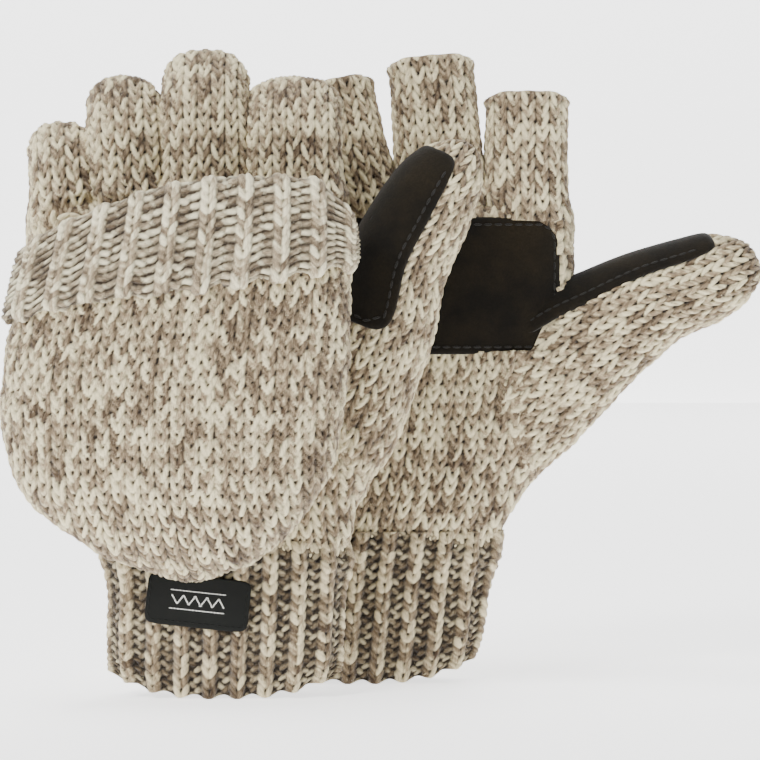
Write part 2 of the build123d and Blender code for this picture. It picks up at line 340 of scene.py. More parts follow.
def knit_tube(name, form, material, others=(), wrapped=False, closed_end=False, spacing=None,
              start_edge=None, end_edge=None, thickness=FABRIC, rim=0.0, **knit):
    """A knitted tube along a form. others are the forms it joins, which its surface swells towards."""
    spacing = SPACING if spacing is None else max(spacing, 0)
    cell = knit.get("cell", (WALE, COURSE))
    count = max(8, int(form.length / spacing))
    distances = np.linspace(0, form.length, count)
    angles = even_angles(form, spacing, form.length * 0.4)
    base = form.points(distances[:, None], angles[None, :])
    inner_distances = distances[::-max(1, int(COARSE_ROWS / spacing))]
    inner = form.points(inner_distances[:, None], angles[None, :], thickness)
    base = shift_edges(form, base, distances, start_edge, end_edge)
    inner = shift_edges(form, inner, inner_distances, start_edge, end_edge)
    swell = np.zeros(base.shape[:2])
    for other in others:
        gap = np.abs(other.distance(base))
        swell = np.maximum(swell, UNION / 4 * np.maximum(0, 1 - gap / UNION) ** 2)
    swell = swell + rim * np.exp(-((form.length - distances - 1.6) / 1.3) ** 2)[:, None]
    if wrapped:
        middle = base[int(count * 0.4)]
        around = np.linalg.norm(np.roll(middle, -1, axis=0) - middle, axis=1).sum()
        wales = max(4, round(around / cell[0]))
        s = np.arange(len(angles))[None, :] / len(angles) * wales + 0.5
    else:
        s = wales_from_middle(base, cell[0])
    t = courses_along(base, cell[1])
    fade = np.ones((count, 1))
    if closed_end:
        fade[:, 0] = np.clip((form.length - distances) / 5, 0.2, 1)
    centre = form.rows(distances)[:, None, :3]
    return knit_grid(name, base, inner, centre, material, s, t, swell=swell, fade=fade, **knit)


def shift_edges(form, points, distances, start_edge, end_edge):
    """Moves the rows near an open end to shape its edge. An edge is a function that takes points and
    returns how far to move them along the form, and the power that the move dies away with."""
    row = form.rows(distances)
    axis = np.cross(row[:, 5:8], row[:, 8:11])
    up = np.sign((form.table[-1, :3] - form.table[0, :3]) @ axis[0]) * axis
    share = distances / form.length
    moved = points.copy()
    for edge, nearness in ((start_edge, 1 - share), (end_edge, share)):
        if edge is not None:
            move, power = edge
            moved += up[:, None, :] * (move(points) * (nearness ** power)[:, None])[..., None]
    return moved


def yarn_beads(name, places, directions, ups, half_length, half_width, half_height, material):
    """A row of plump bits of yarn or thread, one closed lozenge at each place."""
    rings, sides = 7, 8
    shares = np.linspace(-1, 1, rings)
    angles = np.arange(sides) / sides * 2 * math.pi
    points, yarn = [], []
    for number, (place, direction, up) in enumerate(zip(places, directions, ups)):
        direction = direction / np.linalg.norm(direction)
        side = np.cross(up, direction)
        side /= np.linalg.norm(side)
        over = np.cross(direction, side)
        for share in shares:
            radius = math.sqrt(max(0.0, 1 - share * share)) * 0.98 + 0.02
            ring = (place + direction * share * half_length
                    + side * (np.cos(angles) * half_width * radius)[:, None]
                    + over * (np.sin(angles) * half_height * radius)[:, None])
            points.append(ring)
            chance = float(hashed(number, 3, 5))
            yarn.append(np.stack([np.full(sides, share * half_length), angles * half_width,
                                  np.full(sides, chance)], axis=1))
    faces = []
    for number in range(len(places)):
        start = number * rings * sides
        faces.append(grid_faces(rings, sides, False, True, start))
        for end in (start, start + (rings - 1) * sides):
            cap = [(end + k, end + k + 1, end + sides - 2 - k, end + sides - 1 - k)
                   for k in range(sides // 2 - 1)]
            faces.append(np.array([c[::-1] for c in cap] if end == start else cap))
    yarn = np.concatenate(yarn)
    relief = np.full(len(yarn), 0.9)
    return make_mesh(name, np.concatenate(points), np.concatenate(faces), material, yarn, relief)


def plain_tube(name, form, material, inset, thickness, first=0.0, last=1.0, spacing=2.2, end_edge=None):
    """A closed plain layer inside a form, between two insets and two shares of its length."""
    distances = np.linspace(first, last, max(6, int((last - first) * form.length / spacing)))
    distances = distances * form.length
    angles = even_angles(form, spacing, form.length * 0.4)
    outside = form.points(distances[:, None], angles[None, :], inset)
    inside = form.points(distances[::-1, None], angles[None, :], inset + thickness)
    outside = shift_edges(form, outside, distances, None, end_edge)
    inside = shift_edges(form, inside, distances[::-1], None, end_edge)
    stack = np.concatenate([outside, inside])
    return make_mesh(name, stack.reshape(-1, 3), grid_faces(*stack.shape[:2], True, True), material)


def pad(name, surface, size, power, thickness, material, spacing=1.0):
    """A soft flat piece with rounded edges on a surface: surface(a, b, lift) gives points, for a and b
    within size of the middle. power sets how square its outline is."""
    largest = max(size)
    rings = max(12, int(largest / spacing))
    sides = max(48, int(4 * sum(size) / spacing))
    sides += sides % 2
    fine = np.linspace(0, 2 * math.pi, 2881)
    edge = np.stack([size[0] * signed_power(np.cos(fine), 2 / power),
                     size[1] * signed_power(np.sin(fine), 2 / power)], axis=1)
    run = np.concatenate([[0], np.cumsum(np.linalg.norm(np.diff(edge, axis=0), axis=1))])
    angles = np.interp(np.arange(sides) * run[-1] / sides, run, fine)
    share = np.concatenate([np.linspace(0.004, 0.96, rings), 1 - 0.04 * np.linspace(0.8, 0, 5) ** 2])
    a = size[0] * signed_power(np.cos(angles), 2 / power)[None, :] * share[:, None]
    b = size[1] * signed_power(np.sin(angles), 2 / power)[None, :] * share[:, None]
    lift = thickness * np.sqrt(np.clip(1 - ((share - 0.93) / 0.07).clip(0) ** 2, 0, 1))[:, None] + 0 * a
    top = surface(a, b, lift)
    under = surface(a[::-2], b[::-2], 0 * a[::-2] - 0.5)
    stack = np.concatenate([top, under])
    return make_mesh(name, stack.reshape(-1, 3), grid_faces(*stack.shape[:2], True, True), material)


def stitch_line(name, surface, corners, gap, material, length=1.5, width=0.42, height=0.35, lift=1.0):
    """Stitches of thread along a line of (a, b) corners on a surface, one each gap."""
    corners = np.asarray(corners, float)
    fine = np.concatenate([np.linspace(*ends, 60, endpoint=False) for ends in zip(corners[:-1], corners[1:])])
    line = surface(*fine.T, np.zeros(len(fine)) + lift)
    run = np.concatenate([[0], np.cumsum(np.linalg.norm(np.diff(line, axis=0), axis=1))])
    count = max(2, int(run[-1] / gap))
    at = (np.arange(count) + 0.5) * run[-1] / count
    directions = along_table(at + 0.6, run, line) - along_table(at - 0.6, run, line)
    above = surface(*fine.T, np.zeros(len(fine)) + lift + 1)
    ups = along_table(at, run, above - line)
    return yarn_beads(name, along_table(at, run, line), directions, ups, length, width, height, material)


# ---------- materials

def colour(red, green, blue):
    """A linear colour from 0 to 255 display values."""
    def one(value):
        value /= 255
        return value / 12.92 if value <= 0.04045 else ((value + 0.055) / 1.055) ** 2.4
    return (one(red), one(green), one(blue), 1.0)


class Graph:
    """A material's node graph."""

    def __init__(self, name):
        self.material = bpy.data.materials.new(name)
        self.material.use_nodes = True
        self.tree = self.material.node_tree
        self.tree.nodes.clear()

    def add(self, kind, inputs=None, **settings):
        node = self.tree.nodes.new("ShaderNode" + kind)
        for key, value in settings.items():
            setattr(node, key, value)
        for key, value in (inputs or {}).items():
            self.put(node.inputs[key], value)
        return node

    def put(self, socket, value):
        if isinstance(value, bpy.types.NodeSocket):
            self.tree.links.new(value, socket)
        else:
            socket.default_value = value

    def math(self, operation, first, second=0.0):
        return self.add("Math", {0: first, 1: second}, operation=operation).outputs[0]

    def place(self):
        return self.add("TexCoord").outputs["Object"]

    def noise(self, vector, scale, detail=3.0, roughness=0.55, distortion=0.0):
        node = self.add("TexNoise", {"Vector": vector, "Scale": scale, "Detail": detail,
                                     "Roughness": roughness, "Distortion": distortion})
        return node.outputs[0]

    def ramp(self, value, stops):
        node = self.add("ValToRGB", {"Fac": value})
        elements = node.color_ramp.elements
        while len(elements) < len(stops):
            elements.new(0.5)
        for element, (position, shade) in zip(elements, stops):
            element.position = position
            element.color = shade if len(shade) == 4 else (*shade, 1.0)
        return node.outputs[0]

    def mix(self, blend, factor, first, second):
        node = self.add("Mix", data_type="RGBA", blend_type=blend)
        for number, value in ((0, factor), (6, first), (7, second)):
            self.put(node.inputs[number], value)
        return node.outputs[2]

    def shade(self, base, value, *stops):
        """Multiplies base by grey stops of value."""
        return self.mix("MULTIPLY", 1.0, base, self.ramp(value, [(at, grey(share)) for at, share in stops]))

    def total(self, *parts):
        """The sum of each value times its weight."""
        terms = [self.math("MULTIPLY", value, weight) for value, weight in parts]
        result = terms[0]
        for term in terms[1:]:
            result = self.math("ADD", result, term)
        return result

    def bump(self, height, strength, distance, normal=None):
        inputs = {"Height": height, "Strength": strength, "Distance": distance}
        if normal is not None:
            inputs["Normal"] = normal
        return self.add("Bump", inputs).outputs[0]

    def surface(self, base, roughness, normal, sheen=0.0, specular=0.3):
        node = self.add("BsdfPrincipled", {"Base Color": base, "Roughness": roughness, "Normal": normal,
                                           "Sheen Weight": sheen, "Sheen Roughness": 0.5,
                                           "Specular IOR Level": specular})
        self.add("OutputMaterial", {"Surface": node.outputs[0]})
        return self.material


def grey(value):
    return (value, value, value, 1.0)


def yarn_material(name, dark, middle, light, gap=0.22):
    """Marled wool: the tone drifts from stitch to stitch and along the yarn, two plies twist round
    each other, fibres run along it, and painted shade darkens the gaps between stitches."""
    g = Graph(name)
    yarn = g.add("Attribute", attribute_name="yarn").outputs["Vector"]
    split = g.add("SeparateXYZ", {"Vector": yarn}).outputs
    along, across, leg = split[0], split[1], split[2]
    place = g.place()
    drift = g.noise(place, 150, 4)
    fine = g.noise(place, 900, 3)
    stretched = g.add("VectorMath", {0: yarn, 1: (0.5, 6.0, 43.0)}, operation="MULTIPLY").outputs[0]
    fibre = g.noise(stretched, 1.3, 5, 0.65)
    wave = g.math("SINE", g.total((along, 1.5), (across, 2.3), (leg, 12.0)))
    twist = g.math("ABSOLUTE", wave)
    marl = g.total((leg, 0.26), (drift, 0.3), (fibre, 0.4), (fine, 0.1), (wave, 0.035))
    base = g.ramp(marl, [(0.36, dark), (0.49, middle), (0.62, light)])
    base = g.shade(base, twist, (0.0, 0.86), (0.45, 1.0))
    relief = g.add("Attribute", attribute_name="relief").outputs["Fac"]
    # painted shade: the yarn's colour is multiplied down to gap where the stitches' relief is low
    base = g.shade(base, relief, (0.1, gap), (0.5, 0.66), (0.85, 1.0))
    for offset, scale, low, share, tone in (((0, 0, 0), 640, 0.68, 0.55, light),
                                            ((3.1, 1.7, 5.3), 520, 0.69, 0.5, dark)):
        spot = g.add("VectorMath", {0: place, 1: offset}, operation="ADD").outputs[0]
        speck = g.ramp(g.noise(spot, scale, 2, 0.8, 0.6), [(low, grey(0.0)), (low + 0.06, grey(1.0))])
        base = g.mix("MIX", g.math("MULTIPLY", speck, share), base, tone)
    normal = None
    for height, strength, distance in ((twist, 0.5, 0.00028), (fibre, 0.75, 0.00032), (fine, 0.5, 0.0003)):
        normal = g.bump(height, strength, distance, normal)
    return g.surface(base, 0.92, normal, sheen=0.25, specular=0.2)


def suede_material(name, shade, worn):
    g = Graph(name)
    place = g.place()
    nap = g.noise(place, 1500, 4, 0.7)
    cloud = g.noise(place, 55, 4, 0.6)
    base = g.mix("MIX", g.ramp(cloud, [(0.38, grey(0.0)), (0.72, grey(1.0))]), shade, worn)
    base = g.shade(base, nap, (0.3, 0.6), (0.75, 1.3))
    normal = g.bump(nap, 0.6, 0.0003)
    normal = g.bump(cloud, 0.35, 0.0012, normal)
    return g.surface(base, 0.97, normal, sheen=0.12, specular=0.15)


def thread_material(name, shade):
    g = Graph(name)
    wave = g.add("TexWave", {"Vector": g.place(), "Scale": 700.0, "Distortion": 1.5},
                 bands_direction="DIAGONAL")
    base = g.shade(shade, wave.outputs[1], (0.0, 0.6), (1.0, 1.25))
    return g.surface(base, 0.7, g.bump(wave.outputs[1], 0.5, 0.0002), sheen=0.1)


def fleece_material(name, shade, shadow):
    g = Graph(name)
    curl = g.noise(g.place(), 420, 5, 0.7, 1.2)
    base = g.ramp(curl, [(0.3, shadow), (0.62, shade)])
    return g.surface(base, 0.95, g.bump(curl, 1.0, 0.0011), sheen=0.35)


def felt_material(name, shade):
    g = Graph(name)
    fluff = g.noise(g.place(), 300, 5, 0.7, 0.8)
    base = g.shade(shade, fluff, (0.25, 0.75), (0.75, 1.1))
    return g.surface(base, 0.95, g.bump(fluff, 0.8, 0.0008), sheen=0.2)


def label_material(name, shade):
    """Black satin: fine weave lines and a soft shine."""
    g = Graph(name)
    place = g.place()
    weft = g.add("TexWave", {"Vector": place, "Scale": 900.0, "Distortion": 0.6}, bands_direction="Z")
    cloud = g.noise(place, 60, 2)
    base = g.shade(shade, weft.outputs[1], (0.0, 0.7), (1.0, 1.3))
    normal = g.bump(weft.outputs[1], 0.25, 0.0001)
    normal = g.bump(cloud, 0.2, 0.0008, normal)
    return g.surface(base, 0.6, normal, sheen=0.0, specular=0.2)


def backdrop_material(name, glow):
    g = Graph(name)
    node = g.add("BsdfPrincipled", {"Base Color": grey(0.9), "Roughness": 0.9,
                                    "Emission Color": grey(1.0), "Emission Strength": glow})
    g.add("OutputMaterial", {"Surface": node.outputs[0]})
    return g.material


# ---------- the gloves

MIDDLE = 3.3  # middle of the pair along X, which the stations below are measured beside
BACK_OF_HAND = 34.0
HAND_DEPTH = 12.3
CUFF_DEPTH = 11.0
FINGER_DEPTH = 20.2
FINGER_HALF = 9.8
THUMB_DEPTH = 21.5
HOOD_FACE = 35.9  # depth of the folded hood's flat side, which lies on the back of the hand
CURL_RADIUS = 13.0
KNUCKLES = 163.0
FINGER_ROOT = 13.0  # how far a finger's tube starts below the knuckles
SEAM_MIDDLE = -67.8  # middle along X of the left hood's seam
SEAM_SPAN = 88.0
SEAM_DEPTH = 35.1
SEAM_STITCH = 4.0
LINING = 0.8  # thickness of the lining
LINING_MIDDLE = 4.0  # how far the middle of the lining lies inside the knit's surface
BATTING = 1.2  # thickness of the batting
THUMB_RADIUS = 15.0  # radius that the thumb patch is wrapped round
LABEL_HALF = (17.5, 8.8)  # half width and half height
LABEL_HEIGHT = 32.6  # height of its middle
LABEL_DEPTH = 35.2
PAIR_MIDDLE = 0.11  # height in metres that the lights point at
X, Y, Z = np.eye(3)

# Height, left edge and right edge of each hand and cuff; a thumb's stations are X and Z of its
# middle, half width and half depth; a finger is its middle, width, lean and height. A label is X and
# tilt, a palm patch X, Z and half sizes, and a thumb patch its middle and half length along the
# thumb, and its angle and half turn round it. Angles are in degrees.
LEFT = {
    "name": "left", "back": -1, "hood_shift": 0.0, "curl": 60.0, "thumb_angle": 66.0,
    "cuff": [(0, -92, -14.6), (14, -91.6, -14.2), (32, -91.4, -13), (46, -92, -12), (53, -91, -13)],
    "hand": [(43, -88, -15.5), (54, -93, -10.5), (62, -96, -9), (75, -100, -6), (100, -107, -3.5),
             (130, -112.5, -6), (150, -116, -9), (161, -117, -11.5)],
    "thumb": [(-20, 78, 15, 8), (-14, 90, 19, 10.5), (-6, 109, 18.3, 11.8), (2, 128, 17, 12),
              (6.5, 147, 15.8, 12), (13.5, 161, 15.3, 12), (20.5, 174, 13.3, 11), (25.3, 182, 9.8, 8.2),
              (28.2, 187, 5, 4.4), (29.2, 188.8, 0.3, 0.3)],
    "fingers": {"little": (-107.5, 20.6, -4.6, 195.0), "ring": (-85.5, 24.2, -3.5, 210.5),
                "middle": (-59.6, 28.2, 0.0, 219.5), "index": (-29.2, 31.8, 0.0, 210.5)},
    "label": (-61.6, -6.0),
    "patch": (-63.5, 139.2, 45.5, 24.0),
    "thumb_patch": (90.5, 36.0, -31.0, 66.0),
}
RIGHT = {
    "name": "right", "back": 1, "hood_shift": 74.7, "curl": 0.0, "thumb_angle": 28.0,
    "cuff": [(0, -46, 33), (14, -45.5, 35), (32, -44.8, 37.5), (46, -44.2, 40), (53, -43, 41)],
    "hand": [(43, -41, 36.5), (54, -44, 42.5), (62, -45, 47), (75, -46, 53), (100, -46.5, 59),
             (136, -43, 65), (152, -41.5, 65.5), (161, -41, 65)],
    "thumb": [(26, 84, 17, 6), (38, 92, 23.5, 9), (52, 103.5, 26, 11), (66, 114.5, 23.8, 12),
              (80, 124, 20, 12), (90, 130.3, 18, 12), (99, 135.3, 16.3, 12),
              (112, 140, 15.3, 11.7), (122, 144.6, 13, 10.3), (128.3, 147.4, 9, 7.5),
              (131.6, 148.9, 4.6, 4), (132.8, 149.4, 0.3, 0.3)],
    "fingers": {"little": (-30.8, 21.2, -15.0, 196.0), "ring": (-6.5, 27.2, -12.4, 210.6),
                "middle": (22.3, 29.2, -4.8, 218.9), "index": (51.8, 27.8, 0.0, 206.4)},
    "label": (-10.0, -6.0),
    "patch": (15.6, 139.2, 48.2, 24.0),
    "thumb_patch": (84.0, 46.0, -4.0, 54.0),
}

# The hood's height, left edge, right edge and half depth, from the fold's end up to its mouth
HOOD = [
    (39.6, -64, -63.4, 0.3), (40.8, -70, -57.5, 2.0), (43.7, -79, -48.5, 4.6),
    (49.5, -92.5, -39.5, 8.2), (60.5, -107, -28.3, 11.5), (70, -116.4, -21.8, 13.5),
    (79, -121.6, -17, 14.8), (93, -125.3, -13.2, 15.5), (112, -125.5, -11.6, 15.7),
    (135, -121.0, -10.8, 15.6), (155, -116.5, -10.4, 15.2), (171, -113, -11, 14.8),
]
BAND_LOW = [(-124, 128.5), (-121.7, 128.4), (-102.3, 133.3), (-86.3, 136.3), (-58, 139), (-37.7, 142),
            (-21.7, 144.7), (-5.3, 147)]
BAND_HIGH = [(-123, 150), (-114.7, 157.8), (-98.3, 165.2), (-78.3, 171.3), (-58, 174.3), (-37.7, 175.4),
             (-22, 174.4), (-13.7, 167), (-7, 155.5)]


def edges_form(stations, depth, half_depth, power, opening=(), close=()):
    """A form standing up between left and right edges. opening gives the shares of the half depth at
    its first stations, and close how its top draws in: rise, how much narrower, share of depth."""
    stations = list(stations)
    middles = [((left + right) / 2 - MIDDLE, depth, z) for z, left, right in stations]
    widths = [(right - left) / 2 for z, left, right in stations]
    depths = [half_depth * share for share in opening] + [half_depth] * (len(stations) - len(opening))
    for rise, narrower, share in close:
        x, _, z = middles[len(stations) - 1]
        middles.append((x, depth, z + rise))
        widths.append(widths[len(stations) - 1] - narrower)
        depths.append(half_depth * share)
    return Form(middles, widths, depths, X, Y, power)


def hood_form(glove):
    """The hood as it lies folded, from its closed end to its mouth."""
    middles, widths, depths = [], [], []
    for z, left, right, half in HOOD:
        x = (left + right) / 2 - MIDDLE + glove["hood_shift"]
        middles.append((x, glove["back"] * (HOOD_FACE + half), z))
        widths.append((right - left) / 2)
        depths.append(half)
    return Form(middles, widths, depths, X, Y, 2.35)


def thumb_form(glove):
    angle = math.radians(glove["thumb_angle"])
    across = np.array([-math.sin(angle), 0, math.cos(angle)])
    middles = [(x - MIDDLE, glove["back"] * THUMB_DEPTH, z) for x, z, _, _ in glove["thumb"]]
    widths = [w for _, _, w, _ in glove["thumb"]]
    depths = [d for _, _, _, d in glove["thumb"]]
    return Form(middles, widths, depths, across, Y, 2.15)


def finger_form(glove, finger):
    """A finger from inside the hand to its open end, bent towards the palm by the glove's curl."""
    middle, width, lean, top = glove["fingers"][finger]
    palm = -glove["back"] * Y
    lean = math.radians(lean)
    up = np.array([math.sin(lean), 0, math.cos(lean)])
    across = np.array([math.cos(lean), 0, -math.sin(lean)])
    root = np.array([middle - MIDDLE, glove["back"] * FINGER_DEPTH, KNUCKLES]) - FINGER_ROOT * up
    curl = math.radians(glove["curl"])
    rise = top - KNUCKLES - (CURL_RADIUS + FINGER_HALF) * math.sin(curl)
    straight = rise / math.cos(lean) + FINGER_ROOT
    places, depth_ways = [], []
    for share in np.linspace(0, 1, 6):
        places.append(root + up * straight * share)
        depth_ways.append(Y)
    if curl:
        for turn in np.linspace(curl / 5, curl, 5):
            middle_of_turn = root + up * straight + palm * CURL_RADIUS
            places.append(middle_of_turn + CURL_RADIUS * (up * math.sin(turn) - palm * math.cos(turn)))
            side = palm * math.cos(turn) - up * math.sin(turn)
            depth_ways.append(side * -glove["back"])
    count = len(places)
    taper = [1.0 - 0.05 * k / (count - 1) for k in range(count)]
    widths = [width / 2 * t for t in taper]
    return Form(places, widths, [FINGER_HALF * t for t in taper], across, np.array(depth_ways), 2.3)


def rounded_end(form):
    """How far a finger's open edge rises: its corners are lower than its middle."""
    end = form.table[-1]

    def rise(points):
        side = np.clip(np.abs((points - end[:3]) @ end[5:8]) / end[3], 0, 1)
        return 0.9 - 2.6 * side ** 5 + 0.12 * np.cos(side * 11)
    return rise


def install_cloth(piece, form, node, body, share=1.0, inset=0.0):
    install(piece, node, body)
    distances = np.linspace(0, form.length * share, 24)
    rings = form.points(distances[:, None], even_angles(form, 2.0, form.length * 0.4)[None, :], inset)


def install(piece, node, body):
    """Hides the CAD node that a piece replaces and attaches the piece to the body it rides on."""
    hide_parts(node)
    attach(piece, body)
    return piece


def hem(middle, half, period):
    """How far a cuff's hem lies above its lowest point: it rises at both sides, in small scallops."""
    def rise(points):
        side = np.abs((points[..., 0] - middle) / half)
        return 7.5 * side ** 2.6 + 0.7 * np.cos(2 * math.pi * (points[..., 0] - middle) / period)
    return rise


def make_cuff(glove, hand, material):
    depth = glove["back"] * (BACK_OF_HAND - HAND_DEPTH)
    form = edges_form(glove["cuff"], depth, CUFF_DEPTH, 2.5)
    _, left, right = glove["cuff"][0]
    start_edge = (hem((left + right) / 2 - MIDDLE, (right - left) / 2, CUFF_RIB), 5)
    return form, knit_tube(
        glove["name"] + "_cuff_knit", form, material, [hand], stitches=CUFF_STITCHES,
        cell=(CUFF_RIB, CUFF_COURSE), rib=(1.5, 1.2), sink=1.2, start_edge=start_edge, spacing=0.42,
        lumps=0.6)


def mouth_drop(glove):
    """How far the hood's mouth lies above its form's end: lower where it is sewn to the hand and
    towards the little finger."""
    middle = glove["back"] * (HOOD_FACE + 15)

    def dip(points):
        inward = smooth_between(2, 13, -(points[..., 1] - middle) * glove["back"])
        x = points[..., 0] + MIDDLE - glove["hood_shift"]
        outer = np.interp(x, *zip(*BAND_HIGH)) - 3 - HOOD[-1][0]
        return outer * (1 - inward) + np.minimum(outer, KNUCKLES - HOOD[-1][0]) * inward
    return dip, 5


def make_hood(glove, material):
    """The hood's knit, closed at the end of the fold and open at its mouth."""
    form = hood_form(glove)
    return form, knit_tube(glove["name"] + "_hood_knit", form, material, spacing=0.6, lumps=1.0,
                           end_edge=mouth_drop(glove))


def make_band(glove, form, material):
    """The hood's ribbed band: a ring round the mouth, broad outside and narrow where it is sewn down."""
    spacing = max(SPACING, 0.45)
    level = form.length * 0.85
    angles = even_angles(form, spacing, level)
    distances = np.linspace(form.length * 0.5, form.length, 120)
    wall = form.points(distances[:, None], angles[None, :])
    profile = np.linspace(0, math.pi, max(40, int(46 / spacing)) * 4)
    across = -signed_power(np.cos(profile), 2 / 7)
    lift = signed_power(np.sin(profile), 2 / 5)
    run = np.concatenate([[0], np.cumsum(np.hypot(18 * np.diff(across), 3 * np.diff(lift)))])
    even = np.linspace(0, run[-1], int(run[-1] / spacing))
    across, lift = np.interp(even, run, across), np.interp(even, run, lift)
    inner_across = np.linspace(0.98, -0.98, 9)
    middle = form.rows(np.array([level]))[0]
    base, inner = [], []
    ring = wall[len(wall) // 2]
    run = np.concatenate([[0], np.cumsum(np.linalg.norm(np.diff(ring, axis=0), axis=1))])
    loops = np.cos(2 * math.pi * run / BAND_RIB)
    for column in range(len(angles)):
        x = ring[column, 0] + MIDDLE - glove["hood_shift"]
        outer = glove["back"] * (ring[column, 1] - middle[1]) / middle[4]
        weight = float(smooth_between(-0.8, -0.1, outer))
        high = np.interp(x, *zip(*BAND_HIGH))
        sewn = min(high - 2, 162.5)
        low = weight * (np.interp(x, *zip(*BAND_LOW)) + loops[column]) + (1 - weight) * (sewn - 5)
        high = weight * high + (1 - weight) * sewn
        for shares, lifts, rows in ((across, lift, base), (inner_across, 0 * inner_across, inner)):
            z = (low + high) / 2 + shares * (high - low) / 2
            path = along_table(z, wall[:, column, 2], wall[:, column, :2])
            out = path - middle[:2]
            out = np.stack([out[:, 0] / middle[3] ** 2, out[:, 1] / middle[4] ** 2], axis=1)
            out /= np.linalg.norm(out, axis=1, keepdims=True)
            stand = weight * 3.9 + (1 - weight) * -1.4
            path = path + out * (stand * lifts - 0.9)[:, None]
            rows.append(np.column_stack([path, z]))
    base, inner = np.array(base).transpose(1, 0, 2), np.array(inner).transpose(1, 0, 2)
    for grid in (base, inner):
        for _ in range(6):
            grid[...] = (np.roll(grid, 1, axis=1) + 2 * grid + np.roll(grid, -1, axis=1)) / 4
    s = wales_from_middle(base, BAND_RIB)
    s = np.broadcast_to(s[len(base) // 2], s.shape)
    outer_column = 0 if glove["back"] < 0 else len(angles) // 2
    t = courses_along(base, BAND_COURSE, outer_column)
    centre = np.broadcast_to(middle[:3] * [1, 1, 0], base.shape) + base * [0, 0, 1]
    return knit_grid(glove["name"] + "_hood_band_knit", base, inner, centre, material, s, t, BAND_STITCHES,
                     (BAND_RIB, BAND_COURSE), rib=(0.7, 1.5), sink=0.4, lumps=0.5)


def make_seam(glove, material):
    """The yarn that joins the hood to the back of the hand, as slanting stitches."""
    x = SEAM_MIDDLE + glove["hood_shift"]
    count = int(SEAM_SPAN / SEAM_STITCH)
    places = [np.array([x + SEAM_SPAN * ((k + 0.5) / count - 0.5), glove["back"] * SEAM_DEPTH, KNUCKLES])
              for k in range(count)]
    directions = [X + 0.35 * Z * (-1) ** k for k in range(count)]
    ups = [glove["back"] * Y] * count
    return yarn_beads(glove["name"] + "_hood_seam_yarn", places, directions, ups, 2.6, 0.95, 0.8, material)


def palm_surface(glove, form):
    """Points on the hand's palm side, at X and Z and a height above it."""
    def surface(x, z, lift):
        fine = np.linspace(0, form.length, 60)
        distances = np.interp(np.ravel(np.minimum(z, 158)), form.rows(fine)[:, 2], fine)
        row = form.rows(distances).reshape(*np.shape(z), -1)
        share = np.clip(np.abs((x - row[..., 0]) / row[..., 3]), 0, 0.995)
        depth = row[..., 4] * (1 - share ** form.power) ** (1 / form.power)
        return np.stack([x, row[..., 1] - glove["back"] * (depth + 0.35 + lift), z], axis=-1)
    return surface


def shifted(surface, middle):
    """The same surface, measured from a middle point."""
    return lambda a, b, lift: surface(a + middle[0], b + middle[1], lift)


def under_palm_patch(glove):
    """Says which points lie under the palm patch."""
    x, z, half_x, half_z = glove["patch"]

    def press(points):
        beside = np.abs(points[..., 0] - x + MIDDLE) < half_x - 1.2
        level = np.abs(points[..., 2] - z) < half_z - 1.2
        return beside & level & (points[..., 1] * glove["back"] < THUMB_DEPTH - 5)
    return press


def sewn_patch(name, surface, half, power, thickness, corners, gap, suede, thread):
    """A suede patch, its stitching and its flat size."""
    patch = pad(name + "_suede", surface, half, power, thickness, suede)
    stitching = stitch_line(name + "_thread", surface, corners, gap, thread, lift=thickness)
    return patch, stitching, tuple(2 * size * MM for size in half)


def make_palm_patch(glove, form, suede, thread):
    """A suede patch on the palm, sewn down all round."""
    x, z, half_x, half_z = glove["patch"]
    surface = shifted(palm_surface(glove, form), (x - MIDDLE, z))
    a, b = half_x - 2.6, half_z - 2.6
    corners = [(-a, -b + 5), (-a + 1.5, -b + 1.5), (-a + 5, -b)]
    corners += [(-x, z) for x, z in reversed(corners)]
    corners += [(-x, -z) for x, z in corners] + corners[:1]
    return sewn_patch(glove["name"] + "_palm", surface, (half_x, half_z), 7, 1.3, corners, 3.6, suede, thread)


def make_thumb_patch(glove, form, suede, thread):
    """A suede patch wrapped round the thumb: distances along it, and degrees round it."""
    middle, half, angle, turn = glove["thumb_patch"]

    def surface(a, b, lift):
        return form.points(middle + a, np.radians(angle) + b / THUMB_RADIUS, -1.0 - lift)
    half_b = math.radians(turn) * THUMB_RADIUS
    a, b = half - 2.4, half_b - 2.4
    corners = [(a - 5, b), (-a + 4, b), (-a, b - 4), (-a, -b + 4), (-a + 4, -b), (a - 5, -b)]
    return sewn_patch(glove["name"] + "_thumb", surface, (half, half_b), 8, 1.2, corners, 3.4, suede, thread)


